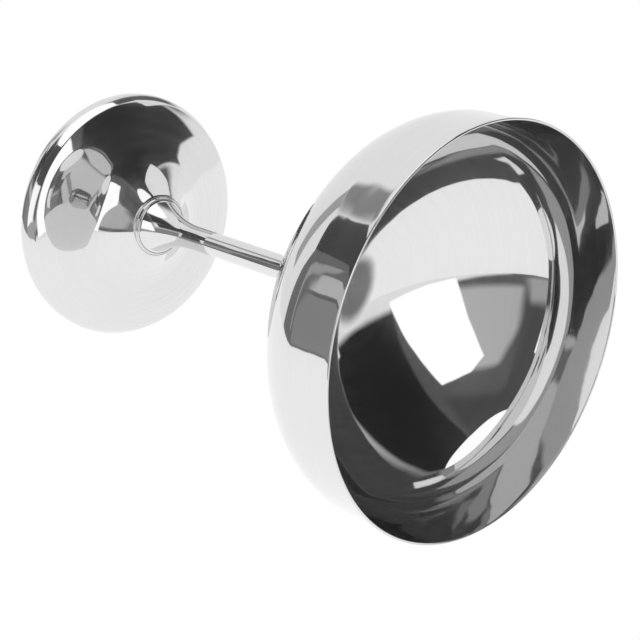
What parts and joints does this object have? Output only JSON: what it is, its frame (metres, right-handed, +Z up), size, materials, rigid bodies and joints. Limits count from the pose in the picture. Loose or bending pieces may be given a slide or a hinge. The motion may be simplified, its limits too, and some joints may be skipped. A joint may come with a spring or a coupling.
{
  "type": "metal coupe glass",
  "caption": "Mirror-polished footed metal coupe: a wide dished bowl on a slim trumpet-ended stem and a round foot with a hollow-sided neck, for sparkling wine or desserts.",
  "frame": {"origin": "centre of the circle that the foot's edge stands on", "axes": "+Z up along the axis of revolution, from the foot to the rim; X and Y lie in the plane it stands on, and neither is special"},
  "size_m": [0.095, 0.095, 0.1334],
  "materials": {
    "bowl_steel": "mirror-polished stainless sheet",
    "stem_steel": "mirror-polished stainless tube",
    "foot_steel": "mirror-polished stainless sheet",
    "silver_solder": "polished silver solder"
  },
  "bodies": {
    "root": {"bowl": "bowl_steel", "stem": "stem_steel", "foot": "foot_steel", "bowl_solder_fillet": "silver_solder", "foot_solder_fillet": "silver_solder"}
  },
  "joints": []
}
